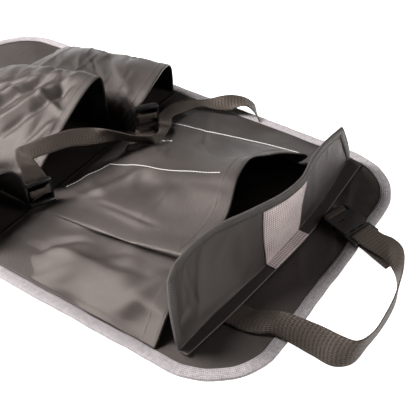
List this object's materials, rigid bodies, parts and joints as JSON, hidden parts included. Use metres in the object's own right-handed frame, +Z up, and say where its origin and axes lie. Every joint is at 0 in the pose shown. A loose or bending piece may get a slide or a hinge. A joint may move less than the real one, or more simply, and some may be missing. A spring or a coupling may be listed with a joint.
{
  "type": "car seat organizer",
  "caption": "Soft car seat organizer with a pleated upper pocket, lower pockets, bottle pockets, a lid flap and webbing straps.",
  "frame": {"origin": "middle of the backing panel's back face", "axes": "+Z up out of the pockets, +Y from the headrest end towards the foot, +X towards the far side"},
  "size_m": [0.4137, 0.721, 0.0889],
  "materials": {
    "fabric": "matt woven polyester",
    "binding_tape": "ribbed grey tape",
    "flap_tape": "ribbed dark tape",
    "patch": "fine diagonal weave",
    "webbing": "ribbed webbing",
    "plastic": "moulded, half gloss",
    "thread": "white sewing thread"
  },
  "bodies": {
    "root": {"back_panel": "fabric", "edge_binding": "binding_tape", "upper_pocket": "fabric", "upper_seam_middle": "thread", "upper_seam_far": "thread", "upper_seam_short": "thread", "centre_pocket": "fabric", "far_bottle_pocket": "fabric", "near_bottle_pocket": "fabric", "lid_flap": "fabric", "lid_flap_binding": "flap_tape", "lid_patch": "patch", "headrest_strap": "webbing", "buckle_strap": "webbing", "buckle_socket": "plastic", "buckle_plug": "plastic", "side_strap": "webbing", "side_strap_slider": "plastic", "bottle_strap": "webbing", "bottle_strap_slider": "plastic"}
  },
  "joints": []
}
